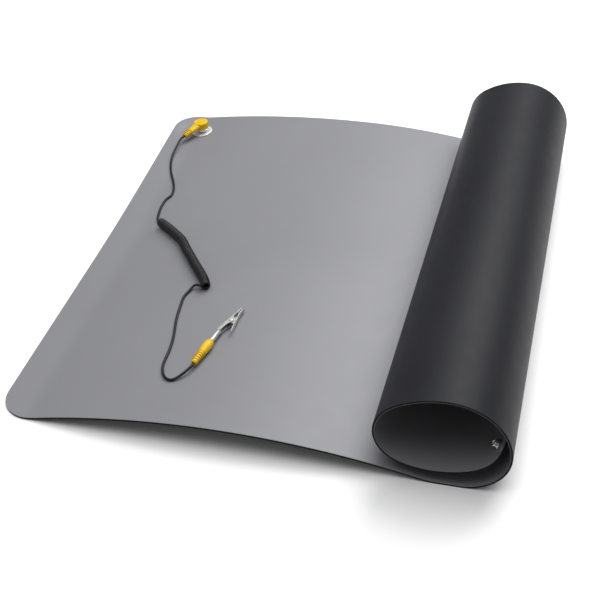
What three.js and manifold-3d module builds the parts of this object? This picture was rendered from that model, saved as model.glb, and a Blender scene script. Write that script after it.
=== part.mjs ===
// Anti static bench mat, half unrolled, with its curly earth cord, snap, plug and clip.
// Millimetres, +X along the mat from its flat end to its roll, +Y to the rear, +Z up.
import * as THREE from 'three';
import { mergeVertices } from 'three/addons/utils/BufferGeometryUtils.js';
import Module from 'manifold-3d';

const wasm = await Module();
wasm.setup();

const { cos, sin, PI } = Math;
const radians = THREE.MathUtils.degToRad;
const vec = (x, y = 0, z = 0) => new THREE.Vector3(x, y, z);

// The sheet
const matLength = 750;
const matWidth = 500;
const cornerRadius = 28;
const baseThickness = 1.5;
const topThickness = 0.5;
const sheetThickness = baseThickness + topThickness;
const halfSheet = sheetThickness / 2;

// How it lies: a strip on the floor, a low arch, a second strip, then the roll
const leftStrip = 23;
const archHeight = 21;
const archEase = 60;
const floorStrip = 16;
const rearLift = 13;
const rearLiftStart = 225;
const rearLiftRamp = 370;
const rearLiftReach = 225;

// The roll's arcs, as radii of the sheet's middle at its front edge
const riseRadius = 38;
const shoulderRadius = 49.5;
const crownRadius = 73;
const crownTurn = radians(35);
const crestRadius = 32.5;
const fallRadius = 32.5;
const fallTurn = radians(70);
const underRadius = 72;
const quarter = radians(90);
const flapTurn = radians(20);
const flapEndHeading = radians(80);
const flapSeatAngle = radians(16.5);
const rollTaper = 0.027;

// Running and seating clearance between pieces
const gap = 0.3;

// Snap studs through the sheet
const studX = 34.5;
const studFromRear = 32;
const flapStudFromEnd = 18;
const flapStudFromFront = 16;
const shankRadius = 2.4;
const collarRadius = 4.5;
const collarThickness = 0.7;
const buttonRadius = 3.5;
const buttonWaist = 3;
const buttonHeight = 3.6;
const buttonDimple = 1.6;
const buttonRound = 1.4;
const rivetRadius = 5.5;
const rivetThickness = 0.8;
const washerRadius = 11.5;
const washerThickness = 0.8;
const flatRadius = 13;
const flatFade = 34;

// Snap head with its ribbed tail
const headRadius = 8.3;
const headRise = 4.8;
const headHeight = 7.6;
const headEdge = 1.6;
const headChamfer = 0.5;
const headWall = 1.5;
const headLean = radians(-5);
const socketWall = 1.8;
const socketHeight = 4;
const tailHeading = radians(240.8);
const tailLength = 27;
const tailRootRadius = 4.2;
const tailEndRadius = 3.1;
const tailAxisHeight = 4.9;
const tailDroop = radians(9.5);
const tailBreadth = 1.18;
const tailRibs = 4;
const ribPitch = 2.6;
const ribDepth = 0.5;

// Cord
const wireRadius = 1.2;
const coilRadius = 4.8;
const wireSides = 8;
const coilSides = 12;
const wireStep = 5.5;
const coilStep = 9;
const cordStraight = 5;
const cordRise = 2.2;
const coilExitRise = 3.6;

// Plug
const plugTail = vec(158.9, 68);
const plugHeading = radians(79.4);
const plugLength = 31.5;
const plugRadius = 4.3;
const plugTailRadius = 2.9;
const plugRibs = 4;
const plugBelly = 0.76;
const pinReach = 12;
const pinSeat = 12;
const pinNose = 2;
const plugNose = [[0.94, 0.88], [0.8, 0.95], [0.62, 1]];

// Alligator clip, measured from the rear end of its barrel
const clipThickness = 0.6;
const clipWidth = 5.2;
const clipLength = 50.5;
const barrelRadius = 2.5;
const pinRadius = barrelRadius - clipThickness - gap;
const barrelLength = 13;
const seamWidth = 0.5;
const seamAngle = radians(38);
const seamEnd = 1;
const wristU = 13.5;
const jawBend = radians(-6.3);
const pivotU = 30;
const pivotW = -2.9;
const pivotRadius = 1.1;
const pivotHeadRadius = 1.9;
const pivotHeadThickness = 0.5;
const springRadius = 2.3;

const roundSides = 24;
const smallSides = 16;
const overrun = 2;

const materials = {
  blackRubber: { color: 0x2b2b2f, roughness: 0.75, metalness: 0 },
  greyRubber: { color: 0x98999d, roughness: 0.6, metalness: 0 },
  plated: { color: 0xc4c4c2, roughness: 0.28, metalness: 1 },
  yellow: { color: 0xe8b411, roughness: 0.42, metalness: 0 },
  cordBlack: { color: 0x1a1a1b, roughness: 0.5, metalness: 0 },
};

function pieceOf(name, geometry, finish) {
  const mesh = new THREE.Mesh(geometry, new THREE.MeshStandardMaterial(materials[finish]));
  mesh.name = name;
  return mesh;
}

// A closed mesh as a solid that can be cut and joined
function solidOf(geometry) {
  const bare = geometry.clone();
  bare.deleteAttribute('normal');
  bare.deleteAttribute('uv');
  const merged = mergeVertices(bare, 1e-5);
  return new wasm.Manifold(new wasm.Mesh({
    numProp: 3,
    vertProperties: new Float32Array(merged.attributes.position.array),
    triVerts: new Uint32Array(merged.index.array),
  }));
}

function geometryOf(solid) {
  const { vertProperties, triVerts } = solid.getMesh();
  const geometry = new THREE.BufferGeometry();
  geometry.setAttribute('position', new THREE.BufferAttribute(vertProperties, 3));
  geometry.setIndex(new THREE.BufferAttribute(triVerts, 1));
  return geometry;
}

const union = (...geometries) => geometryOf(geometries.map(solidOf).reduce((a, b) => a.add(b)));
const cut = (geometry, ...tools) => geometryOf(
  tools.map(solidOf).reduce((a, b) => a.subtract(b), solidOf(geometry)),
);

// A turned body about Z from [radius, height] points, listed upwards
function turned(points, sides = roundSides) {
  const outline = points.map(([r, z]) => new THREE.Vector2(r, z));
  return new THREE.LatheGeometry(outline, sides).rotateX(quarter);
}

const rod = (radius, from, to, sides = roundSides) => turned(
  [[0, from], [radius, from], [radius, to], [0, to]],
  sides,
);

// The sheet's middle line in the XZ plane, walked as arcs of { length, turn }
const arc = (radius, turn) => ({ length: radius * turn, turn });

function walk(arcs, distance) {
  let [x, z, heading] = [0, 0, 0];
  let left = distance;
  for (const { length, turn } of arcs) {
    const run = Math.min(length, left);
    const bend = (turn * run) / length;
    if (turn === 0) {
      x += run * cos(heading);
      z += run * sin(heading);
    } else {
      const radius = length / turn;
      x += radius * (sin(heading + bend) - sin(heading));
      z += radius * (cos(heading) - cos(heading + bend));
    }
    heading += bend;
    left -= run;
    if (left <= 0) break;
  }
  return { x, z, heading };
}

const lengthOf = (arcs) => arcs.reduce((sum, { length }) => sum + length, 0);

// The roll's arcs, smaller towards the rear; the flap's two arcs end against the outer wall
function rollArcs(scale) {
  const outer = [
    arc(riseRadius * scale, quarter),
    arc(shoulderRadius * scale, quarter),
    arc(crownRadius * scale, crownTurn),
    arc(crestRadius * scale, quarter - crownTurn),
    arc(fallRadius * scale, fallTurn),
    arc(underRadius * scale, quarter - fallTurn),
  ];
  const start = walk(outer, lengthOf(outer));
  const seat = shoulderRadius * scale - sheetThickness - gap;
  const dx = (riseRadius - shoulderRadius) * scale + seat * cos(flapSeatAngle) - start.x;
  const dz = riseRadius * scale + seat * sin(flapSeatAngle) - start.z;
  const [a, b] = [sin(flapTurn), sin(flapEndHeading) - sin(flapTurn)];
  const [c, d] = [1 - cos(flapTurn), cos(flapTurn) - cos(flapEndHeading)];
  const first = (dx * d - b * dz) / (a * d - b * c);
  const second = (a * dz - c * dx) / (a * d - b * c);
  return [...outer, arc(first, flapTurn), arc(second, flapEndHeading - flapTurn)];
}

function sheetArcs(y) {
  const roll = rollArcs(1 - (rollTaper * y) / matWidth);
  const archLength = matLength - lengthOf(roll) - leftStrip - floorStrip;
  const archTurn = (4 * archHeight) / archLength;
  const archRadius = archLength / (2 * archTurn) - archEase;
  return [
    { length: leftStrip, turn: 0 },
    arc(archEase, archTurn),
    { length: archRadius * 2 * archTurn, turn: -2 * archTurn },
    arc(archEase, archTurn),
    { length: floorStrip, turn: 0 },
    ...roll,
  ];
}

const flatArcs = 5;
const flatLength = (arcs) => lengthOf(arcs.slice(0, flatArcs));
const frontArcs = sheetArcs(0);

// Distance s along the front edge, carried to row y so that the roll starts at the same station
function stationAt(s, arcs) {
  const flat = flatLength(frontArcs);
  const share = s <= flat ? s / flat : (s - flat) / (matLength - flat);
  return s <= flat ? share * flatLength(arcs) : flatLength(arcs) + share * (matLength - flatLength(arcs));
}

const smooth = (t) => THREE.MathUtils.smoothstep(t, 0, 1);

function liftAt(x, y) {
  const rear = smooth((y - rearLiftStart) / rearLiftRamp);
  return rearLift * rear * Math.max(0, 1 - x / rearLiftReach) ** 2;
}

// Height of the sheet's middle at a place on its flat part
function restingHeight(x, y) {
  const arcs = sheetArcs(y);
  let s = x;
  for (let pass = 0; pass < 4; pass += 1) s += x - walk(arcs, s).x;
  return halfSheet + walk(arcs, s).z + liftAt(x, y);
}

const studY = matWidth - studFromRear;
const probe = 1;
const studHeight = restingHeight(studX, studY);
const slopeX = (restingHeight(studX + probe, studY) - restingHeight(studX - probe, studY)) / (2 * probe);
const slopeY = (restingHeight(studX, studY + probe) - restingHeight(studX, studY - probe)) / (2 * probe);

// The riveted washer holds the sheet flat round the rear stud
function flattened(x, y, height) {
  const away = Math.hypot(x - studX, y - studY);
  const hold = smooth((flatFade - away) / (flatFade - flatRadius));
  const plane = studHeight + slopeX * (x - studX) + slopeY * (y - studY);
  return THREE.MathUtils.lerp(height, plane, hold);
}

const middleHeight = (x, y) => flattened(x, y, restingHeight(x, y));
const onMat = (x, y, lift) => vec(x, y, middleHeight(x, y) + halfSheet + lift);

// A place on the sheet: s along it, y across it, out from its middle towards the grey side
function sheetPoint(s, y, out) {
  const arcs = sheetArcs(y);
  const { x, z, heading } = walk(arcs, stationAt(s, arcs));
  const onFlat = s < flatLength(frontArcs);
  const height = onFlat ? flattened(x, y, halfSheet + z + liftAt(x, y)) : halfSheet + z;
  return vec(x - out * sin(heading), y, height + out * cos(heading));
}

// Stations along the sheet: close at the rounded corners, even on the flat, by angle in the roll
function sheetStations() {
  const cornerSteps = 6;
  const flatStep = 9;
  const rollStep = radians(9);
  const corner = [];
  for (let i = 0; i <= cornerSteps; i += 1) corner.push(cornerRadius * (1 - cos((quarter * i) / cornerSteps)));
  const stations = [...corner];
  const flat = flatLength(frontArcs);
  const steps = Math.ceil((flat - cornerRadius) / flatStep);
  for (let i = 1; i <= steps; i += 1) stations.push(cornerRadius + ((flat - cornerRadius) * i) / steps);
  let s = flat;
  for (const { length, turn } of frontArcs.slice(flatArcs)) {
    const parts = Math.ceil(turn / rollStep);
    for (let i = 1; i <= parts; i += 1) {
      const at = s + (length * i) / parts;
      if (at < matLength - cornerRadius - 1) stations.push(at);
    }
    s += length;
  }
  return [...stations, ...corner.map((inset) => matLength - inset).reverse()];
}

// Shares of the width, closer towards the rear where the stud holds the sheet flat
const rowShares = [
  0, 0.035, 0.12, 0.26, 0.4, 0.54, 0.58, 0.63, 0.68, 0.73, 0.78, 0.82, 0.86, 0.9, 0.93, 0.965, 1,
];

function cornerInset(s) {
  const fromEnd = Math.min(s, matLength - s, cornerRadius);
  return cornerRadius - Math.sqrt(cornerRadius ** 2 - (cornerRadius - fromEnd) ** 2);
}

const sheetGrid = (out) => sheetStations().map((s) => {
  const inset = cornerInset(s);
  return rowShares.map((share) => sheetPoint(s, inset + share * (matWidth - 2 * inset), out));
});

// A closed body between two like grids of points
function layerBetween(lower, upper) {
  const [rows, columns] = [lower.length, lower[0].length];
  const positions = [...lower.flat(), ...upper.flat()].flatMap((p) => p.toArray());
  const low = (i, j) => i * columns + j;
  const high = (i, j) => rows * columns + low(i, j);
  const faces = [];
  for (let i = 0; i + 1 < rows; i += 1) {
    for (let j = 0; j + 1 < columns; j += 1) {
      faces.push(high(i, j), high(i + 1, j), high(i + 1, j + 1));
      faces.push(high(i, j), high(i + 1, j + 1), high(i, j + 1));
      faces.push(low(i, j), low(i + 1, j + 1), low(i + 1, j));
      faces.push(low(i, j), low(i, j + 1), low(i + 1, j + 1));
    }
  }
  const wall = (a, b) => faces.push(low(...a), low(...b), high(...b), low(...a), high(...b), high(...a));
  for (let i = 0; i + 1 < rows; i += 1) {
    wall([i, 0], [i + 1, 0]);
    wall([i + 1, columns - 1], [i, columns - 1]);
  }
  for (let j = 0; j + 1 < columns; j += 1) {
    wall([0, j + 1], [0, j]);
    wall([rows - 1, j], [rows - 1, j + 1]);
  }
  const geometry = new THREE.BufferGeometry();
  geometry.setAttribute('position', new THREE.Float32BufferAttribute(positions, 3));
  geometry.setIndex(faces);
  return geometry;
}

// A frame standing on the sheet: +Z out of the grey side, +X along the sheet
function frameOn(s, y) {
  const step = 1;
  const origin = sheetPoint(s, y, halfSheet);
  const along = sheetPoint(s + step, y, halfSheet).sub(sheetPoint(s - step, y, halfSheet)).normalize();
  const across = sheetPoint(s, y + step, halfSheet).sub(sheetPoint(s, y - step, halfSheet)).normalize();
  const out = along.clone().cross(across).normalize();
  return new THREE.Matrix4().makeBasis(along, out.clone().cross(along), out).setPosition(origin);
}

const rearStudFrame = frameOn(studX, studY);
const flapStudFrame = frameOn(matLength - flapStudFromEnd, flapStudFromFront);

function studHole(frame) {
  return rod(shankRadius + gap, -sheetThickness - overrun, overrun, smallSides).applyMatrix4(frame);
}

const [underside, bond, topside] = [-halfSheet, baseThickness - halfSheet, halfSheet].map(sheetGrid);
const studHoles = [rearStudFrame, flapStudFrame].map(studHole);
const baseLayer = pieceOf('base_layer', cut(layerBetween(underside, bond), ...studHoles), 'blackRubber');
const topLayer = pieceOf('top_layer', cut(layerBetween(bond, topside), ...studHoles), 'greyRubber');

// A rivet with a snap button above the sheet and a clenched head below it
function studGeometry(seat) {
  const [back, foot] = [-sheetThickness - gap, seat + gap];
  const top = foot + collarThickness + buttonHeight;
  return turned([
    [0, back - rivetThickness], [rivetRadius, back - rivetThickness], [rivetRadius, back], [shankRadius, back],
    [shankRadius, foot], [collarRadius, foot], [collarRadius, foot + collarThickness],
    [buttonWaist, foot + collarThickness], [buttonRadius, top - buttonRound], [buttonWaist, top],
    [buttonDimple, top], [buttonDimple, top - buttonRound], [0, top - buttonRound],
  ]);
}

function placed(frame, ...members) {
  const group = new THREE.Group();
  group.applyMatrix4(frame);
  group.add(...members);
  return group;
}

const washerTop = gap + washerThickness;
const buttonFoot = washerTop + gap + collarThickness;
const washerBore = shankRadius + gap;
const washer = turned([
  [washerBore, gap], [washerRadius, gap], [washerRadius, washerTop], [washerBore, washerTop], [washerBore, gap],
]);

// The snap head: a cap over the socket, with a tapered drooping tail that ends in ribs
const headFoot = washerTop + headRise;
const headTop = headFoot + headHeight;
const leanAbout = buttonFoot + buttonHeight / 2;
const leanRoom = sin(Math.abs(headLean));
const socketInner = buttonRadius + gap + socketHeight * leanRoom;
const socketOuter = socketInner + socketWall;
const socketFoot = buttonFoot + gap + collarRadius * leanRoom;
const socketTop = socketFoot + socketHeight;

// One rib's groove from where it starts: down, along its floor and up again
function groovePoints(start, radius) {
  const floor = radius - ribDepth;
  const shape = [[0, radius], [0.15, floor], [0.45, floor], [0.6, radius]];
  return shape.map(([share, r]) => [r, start + share * ribPitch]);
}

function ribbedTail(length, rootRadius, endRadius, ribs) {
  const points = [[0, 0], [rootRadius, 0]];
  for (let i = ribs; i > 0; i -= 1) {
    const groove = length - ribPitch * i;
    points.push(...groovePoints(groove, THREE.MathUtils.lerp(rootRadius, endRadius, groove / length)));
  }
  points.push([endRadius, length], [0, length]);
  return turned(points);
}

const tailPlace = new THREE.Matrix4().makeRotationZ(tailHeading)
  .multiply(new THREE.Matrix4().makeTranslation(0, 0, headFoot + tailAxisHeight))
  .multiply(new THREE.Matrix4().makeRotationY(tailDroop));
const tailBody = ribbedTail(tailLength, tailRootRadius, tailEndRadius, tailRibs)
  .scale(1, tailBreadth, 1).rotateY(quarter).applyMatrix4(tailPlace);
const capBody = turned([
  [0, headFoot], [headRadius, headFoot], [headRadius, headTop - headEdge],
  [headRadius - headChamfer, headTop - headChamfer], [headRadius - headEdge, headTop], [0, headTop],
]);
const capHollow = rod(headRadius - headWall, headFoot - overrun, socketTop + gap);
const snapHead = cut(union(capBody, tailBody), capHollow);
const snapSocket = turned([
  [socketInner, socketFoot], [socketOuter, socketFoot], [socketOuter, socketTop], [socketInner, socketTop],
  [socketInner, socketFoot],
]);

// The head and its socket lean together about the middle of the stud's button
const leanAxis = vec(-sin(tailHeading), cos(tailHeading));
const leanFrame = new THREE.Matrix4().makeTranslation(0, 0, leanAbout)
  .multiply(new THREE.Matrix4().makeRotationAxis(leanAxis, headLean))
  .multiply(new THREE.Matrix4().makeTranslation(0, 0, -leanAbout));

const rearSnap = placed(
  rearStudFrame,
  pieceOf('snap_washer', washer, 'plated'),
  pieceOf('rear_stud', studGeometry(washerTop), 'plated'),
  placed(
    leanFrame,
    pieceOf('snap_socket', snapSocket, 'plated'),
    pieceOf('snap_head', snapHead, 'yellow'),
  ),
);
// The flap curves up round its stud, so that stud's collar stands off by the curve's sag
const flapSag = collarRadius ** 2 / (2 * riseRadius);
const flapSnap = placed(flapStudFrame, pieceOf('flap_stud', studGeometry(flapSag), 'plated'));

// The plug and clip lie on the mat along one axis; their frame has +X along it and +Z up
const plugAxis = vec(cos(plugHeading), sin(plugHeading));
const clipRear = plugLength + gap;
const axisLift = plugRadius + gap;

function axisFrame() {
  const alongMat = (u, lift) => {
    const flatPlace = plugTail.clone().addScaledVector(plugAxis, u);
    return onMat(flatPlace.x, flatPlace.y, lift);
  };
  const bellyU = plugLength * plugBelly;
  const belly = alongMat(bellyU, axisLift);
  const nose = alongMat(clipRear + clipLength, clipWidth / 2 + pivotHeadThickness + gap);
  const along = nose.clone().sub(belly).normalize();
  const side = vec(0, 0, 1).cross(along).normalize();
  const [left, right] = [plugRadius, -plugRadius].map((w) => {
    const at = belly.clone().addScaledVector(side, w);
    return middleHeight(at.x, at.y);
  });
  side.setZ((left - right) / (2 * plugRadius)).normalize();
  const up = along.clone().cross(side).normalize();
  const origin = belly.clone().addScaledVector(along, -bellyU);
  return new THREE.Matrix4().makeBasis(along, up.clone().cross(along), up).setPosition(origin);
}

const plugFrame = axisFrame();

function plugGrip() {
  const points = [[0, 0], [plugTailRadius, 0]];
  for (let i = 0; i < plugRibs; i += 1) {
    const groove = ribPitch * (i + 0.5);
    const share = groove / (plugLength * plugBelly);
    points.push(...groovePoints(groove, THREE.MathUtils.lerp(plugTailRadius, plugRadius, share)));
  }
  points.push([plugRadius, plugLength * plugBelly]);
  points.push(...plugNose.map(([wide, far]) => [plugRadius * wide, plugLength * far]));
  points.push([pinRadius + gap, plugLength], [pinRadius + gap, plugLength - pinSeat], [0, plugLength - pinSeat]);
  return turned(points).rotateY(quarter);
}

function plugPin() {
  const [rear, front] = [plugLength - pinSeat + gap, clipRear + pinReach];
  return turned([
    [0, rear], [pinRadius, rear], [pinRadius, front - pinNose], [pinRadius / 2, front], [0, front],
  ], smallSides).rotateY(quarter);
}

// A side outline in the clip's plane, pressed through its width
function plate(points, width) {
  const shape = new THREE.Shape(points.map(([u, w]) => new THREE.Vector2(u, w)));
  return new THREE.ExtrudeGeometry(shape, { depth: width, bevelEnabled: false }).translate(0, 0, -width / 2);
}

// Sawteeth from one place to another along a jaw's edge
function teeth(from, to, count, depth) {
  return Array.from({ length: count }, (_, i) => {
    const root = from.clone().lerp(to, i / count);
    const crest = from.clone().lerp(to, (i + 0.5) / count);
    return [[root.x, root.y], [crest.x, crest.y + depth]];
  }).flat();
}

// The jaws' side outlines as [u, w]; the jaws turn off the barrel's line by their bend
const mouthLength = 10;
const mouthTip = new THREE.Vector2(clipLength, -2.25);
const mouthFront = new THREE.Vector2(clipLength - mouthLength, -2.75);
const mouthGap = 0.34;
const toothCount = 4;
const toothDepth = 0.45;
const barrelBack = [[clipLength, -1.6], [39.3, -0.7], [29.9, 0.2], [20.7, 0.9], [16, 1.3], [wristU, 1.7]];
const barrelEar = [[wristU, -1.8], [21.4, -2.2], [25, -3], [27.5, -4.6], [30.5, -5.2], [33.5, -4.2]];
const barrelEye = [[35, -2.5], [36.6, -1.7], [38.8, -1.9]];
const leverBack = [[clipLength, -3.3], [43, -4.1], [36.4, -5.5], [28.7, -7.7], [20.5, -10.1], [17.7, -11.6]];
const leverLip = [[17.1, -11.1], [19.9, -9.5], [27.2, -7.2]];
const leverEar = [[27.4, -5.6], [27.6, -1.6], [30, -0.6], [33, -1.3]];
const leverEye = [[34.8, -3.6], [36.8, -4.4], [38.8, -4.1]];
const leverRoot = 27.2;
const farPast = 8;

const jawFrame = new THREE.Matrix4().makeTranslation(wristU, 0, 0)
  .multiply(new THREE.Matrix4().makeRotationZ(jawBend))
  .multiply(new THREE.Matrix4().makeTranslation(-wristU, 0, 0));
const pivotHole = () => rod(pivotRadius + gap, -clipWidth, clipWidth, smallSides).translate(pivotU, pivotW, 0);

// The channel inside a jaw: its back moved in by the sheet's thickness, open on the other side
function channel(back, from, inward, width) {
  const [front, far, shift] = [clipLength + overrun, inward * farPast, inward * clipThickness];
  const inside = back.filter(([u]) => u > from).map(([u, w]) => [u, w + shift]);
  const [first, last] = [inside[0], inside.at(-1)];
  return plate([[front, first[1]], ...inside, [from, last[1]], [from, far], [front, far]], width);
}

// The jaw that is rolled into the barrel: a channel with its back on the far side from the lever
function barrelJaw() {
  const mouth = teeth(mouthTip, mouthFront, toothCount, toothDepth);
  const outline = [...barrelBack, ...barrelEar, ...barrelEye, ...mouth.reverse()];
  const inner = channel(barrelBack, wristU + clipThickness, -1, clipWidth - 2 * clipThickness);
  const jaw = cut(plate(outline, clipWidth), inner, pivotHole()).applyMatrix4(jawFrame);
  const barrel = rod(barrelRadius, 0, wristU + seamEnd).rotateY(quarter);
  const bore = rod(barrelRadius - clipThickness, -overrun, barrelLength).rotateY(quarter);
  const seam = new THREE.BoxGeometry(barrelLength + overrun, barrelRadius * 2, seamWidth)
    .translate((barrelLength - overrun) / 2 - seamEnd, -barrelRadius - barrelRadius / 2, 0).rotateX(seamAngle);
  return cut(union(jaw, barrel), bore, seam);
}

// The sprung jaw: its ears sit inside the other jaw's, and its back runs on as the thumb lever
function leverJaw() {
  const width = clipWidth - 2 * (clipThickness + gap);
  const mouth = teeth(mouthFront, mouthTip, toothCount, toothDepth)
    .map(([u, w]) => [u, w - mouthGap]);
  const outline = [...leverLip, ...leverEar, ...leverEye, ...mouth, ...leverBack];
  const inner = channel(leverBack, leverRoot, 1, width - 2 * clipThickness);
  return cut(plate(outline, width), inner, pivotHole());
}

function clipPivot() {
  const [side, end] = [clipWidth / 2 + gap, clipWidth / 2 + gap + pivotHeadThickness];
  return turned([
    [0, -end], [pivotHeadRadius, -end], [pivotHeadRadius, -side], [pivotRadius, -side],
    [pivotRadius, side], [pivotHeadRadius, side], [pivotHeadRadius, end], [0, end],
  ], smallSides).translate(pivotU, pivotW, 0);
}

// The spring's wound turns round the pivot; its legs are too thin to matter here
function clipSpring() {
  const half = clipWidth / 2 - 2 * clipThickness - 2 * gap;
  const inner = pivotRadius + gap;
  return turned([
    [inner, -half], [springRadius, -half], [springRadius, half], [inner, half], [inner, -half],
  ], smallSides).translate(pivotU, pivotW, 0);
}

const clipFrame = new THREE.Matrix4().makeTranslation(clipRear, 0, 0);
const plugAndClip = placed(
  plugFrame,
  pieceOf('plug_grip', plugGrip(), 'yellow'),
  pieceOf('plug_pin', plugPin(), 'plated'),
  placed(
    clipFrame,
    pieceOf('clip_barrel_jaw', barrelJaw(), 'plated'),
    placed(
      jawFrame,
      pieceOf('clip_lever_jaw', leverJaw(), 'plated'),
      pieceOf('clip_pivot', clipPivot(), 'plated'),
      pieceOf('clip_spring', clipSpring(), 'plated'),
    ),
  ),
);

// A round tube through a list of places
function tube(points, radius, sides, step) {
  const route = new THREE.CatmullRomCurve3(points, false, 'centripetal');
  const section = new THREE.Shape(Array.from({ length: sides }, (_, i) => {
    const angle = (2 * PI * i) / sides;
    return new THREE.Vector2(radius * cos(angle), radius * sin(angle));
  }));
  const steps = Math.ceil(route.getLength() / step);
  return new THREE.ExtrudeGeometry(section, { steps, bevelEnabled: false, extrudePath: route });
}

// The cord's route as [x, y, lift of its centre over the mat]
const lying = wireRadius + gap;
const coilLift = coilRadius + gap;
const leadSpace = 1.6 * wireRadius + gap;
const coilRoute = [
  [49.5, 282.8], [61.7, 272.3], [73.3, 261.1], [85.5, 248.4], [96.1, 232.6], [105.6, 219.1],
  [116, 204.3], [125.7, 191.1], [131.2, 182.5], [135.7, 173.1],
].map(([x, y]) => onMat(x, y, coilLift));

const [coilStart, coilNext] = coilRoute;
const [coilLast, coilEnd] = coilRoute.slice(-2);
const coilIn = coilNext.clone().sub(coilStart).normalize();
const coilOut = coilEnd.clone().sub(coilLast).normalize();
const sideOf = (direction) => vec(0, 0, 1).cross(direction).normalize();

const tailFrame = rearStudFrame.clone().multiply(leanFrame).multiply(tailPlace);
const onTailAxis = (u) => vec(u).applyMatrix4(tailFrame);
const tailEnd = onTailAxis(tailLength + gap);
const intoCoil = coilStart.clone().addScaledVector(coilIn, -leadSpace)
  .addScaledVector(sideOf(coilIn), -coilRadius + wireRadius);
const outOfCoil = coilEnd.clone().addScaledVector(coilOut, -coilRadius)
  .addScaledVector(sideOf(coilOut), -coilRadius - leadSpace);
const plugEntry = vec(-gap, 0, 0).applyMatrix4(plugFrame);
const plugBack = vec(-1, 0, 0).transformDirection(plugFrame);

const snapLeadRoute = [
  tailEnd,
  onTailAxis(tailLength + cordStraight),
  ...[
    [18.8, 426.7, 6.5], [18, 411.5, 3], [21.6, 394.2, lying], [28.1, 377.9, lying], [35.4, 363.3, lying],
    [41.1, 347.9, lying], [42.2, 337, lying], [38.9, 330.2, lying], [38, 318.7, lying], [39.5, 305.5, lying],
    [42.9, 292.7, cordRise],
  ].map(([x, y, lift]) => onMat(x, y, lift)),
  intoCoil,
];
const plugLeadRoute = [
  outOfCoil,
  ...[
    [123.3, 176.7, coilExitRise], [120.2, 170.8, cordRise], [117.6, 162.3, lying], [118.8, 148.6, lying],
    [120.5, 135.3, lying], [122.8, 123.3, lying], [126, 110.7, lying], [128.3, 99.3, lying], [130, 85.1, lying],
    [130.4, 73, lying], [131.7, 64, lying], [134.9, 56.2, lying], [138.8, 51.3, lying], [144.1, 49.2, lying],
    [149, 51.6, cordRise],
  ].map(([x, y, lift]) => onMat(x, y, lift)),
  plugEntry.clone().addScaledVector(plugBack, cordStraight),
  plugEntry,
];

const cord = new THREE.Group();
cord.add(
  pieceOf('snap_lead', tube(snapLeadRoute, wireRadius, wireSides, wireStep), 'cordBlack'),
  pieceOf('coiled_cord', tube(coilRoute, coilRadius, coilSides, coilStep), 'cordBlack'),
  pieceOf('plug_lead', tube(plugLeadRoute, wireRadius, wireSides, wireStep), 'cordBlack'),
);

// The origin lies on the floor, under the middle of the mat as it lies
const lain = new THREE.Box3().setFromObject(baseLayer);
const benchMat = new THREE.Group();
benchMat.add(baseLayer, topLayer, rearSnap, flapSnap, cord, plugAndClip);
benchMat.position.set(-(lain.min.x + lain.max.x) / 2, -(lain.min.y + lain.max.y) / 2, 0);

export default benchMat;
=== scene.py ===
from math import ceil, cos, exp, hypot, pi, radians, sin, sqrt

import bmesh
import bpy
from mathutils import Matrix, Vector


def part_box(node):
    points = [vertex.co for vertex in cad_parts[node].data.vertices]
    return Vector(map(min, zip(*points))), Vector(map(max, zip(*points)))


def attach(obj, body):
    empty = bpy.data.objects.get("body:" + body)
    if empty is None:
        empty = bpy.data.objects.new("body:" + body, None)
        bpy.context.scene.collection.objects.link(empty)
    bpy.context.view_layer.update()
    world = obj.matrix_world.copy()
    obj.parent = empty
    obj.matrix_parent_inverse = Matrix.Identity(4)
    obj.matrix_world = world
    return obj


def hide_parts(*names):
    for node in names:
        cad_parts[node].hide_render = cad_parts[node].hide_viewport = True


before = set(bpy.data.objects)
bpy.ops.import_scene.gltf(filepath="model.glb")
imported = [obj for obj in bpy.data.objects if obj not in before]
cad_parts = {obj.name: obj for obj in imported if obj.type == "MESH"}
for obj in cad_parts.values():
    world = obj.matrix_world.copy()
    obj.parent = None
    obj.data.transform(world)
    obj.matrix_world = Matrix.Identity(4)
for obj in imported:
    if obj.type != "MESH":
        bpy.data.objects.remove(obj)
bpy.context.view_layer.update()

mm = 0.001
gap = 0.3  # clearance between touching pieces, as in the CAD


# Colours, finishes and small tools for making materials
finish = {
    "greyTop": {"dark": (0.194, 0.195, 0.21), "light": (0.209, 0.21, 0.224), "rough": 0.42, "shine": 0.45},
    "greyEdge": {"dark": (0.15, 0.15, 0.157), "light": (0.19, 0.19, 0.197), "rough": 0.7, "shine": 0.2},
    "blackBase": {
        "dark": (0.0085, 0.0088, 0.012), "light": (0.013, 0.0132, 0.0165), "rough": 0.5, "shine": 0.17,
    },
    "blackEdge": {
        "dark": (0.004, 0.004, 0.0045), "light": (0.007, 0.007, 0.0075), "rough": 0.75, "shine": 0.15,
    },
    "nickel": {"dark": (0.78, 0.78, 0.78), "light": (0.92, 0.92, 0.91), "rough": 0.36, "metallic": 0.5},
    # the studs' nickel: the washer's nickel with its colour painted darker as shade for studs sitting in
    # shadow, also fully metallic and smoother
    "studNickelPaintedShade": {"dark": (0.6, 0.6, 0.59), "light": (0.75, 0.75, 0.74), "rough": 0.26, "metallic": 1.0},
    "clipSteel": {"dark": (0.4, 0.4, 0.39), "light": (0.56, 0.56, 0.55), "rough": 0.4, "metallic": 0.55},
    "yellowMoulding": {"dark": (0.64, 0.39, 0.002), "light": (0.73, 0.46, 0.004), "rough": 0.36},
    "cordJacket": {"dark": (0.004, 0.004, 0.0045), "light": (0.009, 0.009, 0.01), "rough": 0.4},
    "paleFloor": {"dark": (0.93, 0.93, 0.93), "light": (0.95, 0.95, 0.95), "rough": 0.8, "shine": 0.2},
}
wear = {"rubber": (0.025, 0.03), "metal": (0.08, 0.14), "moulded": (0.06, 0.1)}  # roughness below and above
noiseSpan = (0.3, 0.7)  # the part of the noise that the colours and roughness spread over
mouldedShine = 0.32
brushDepth = 0.00003


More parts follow.
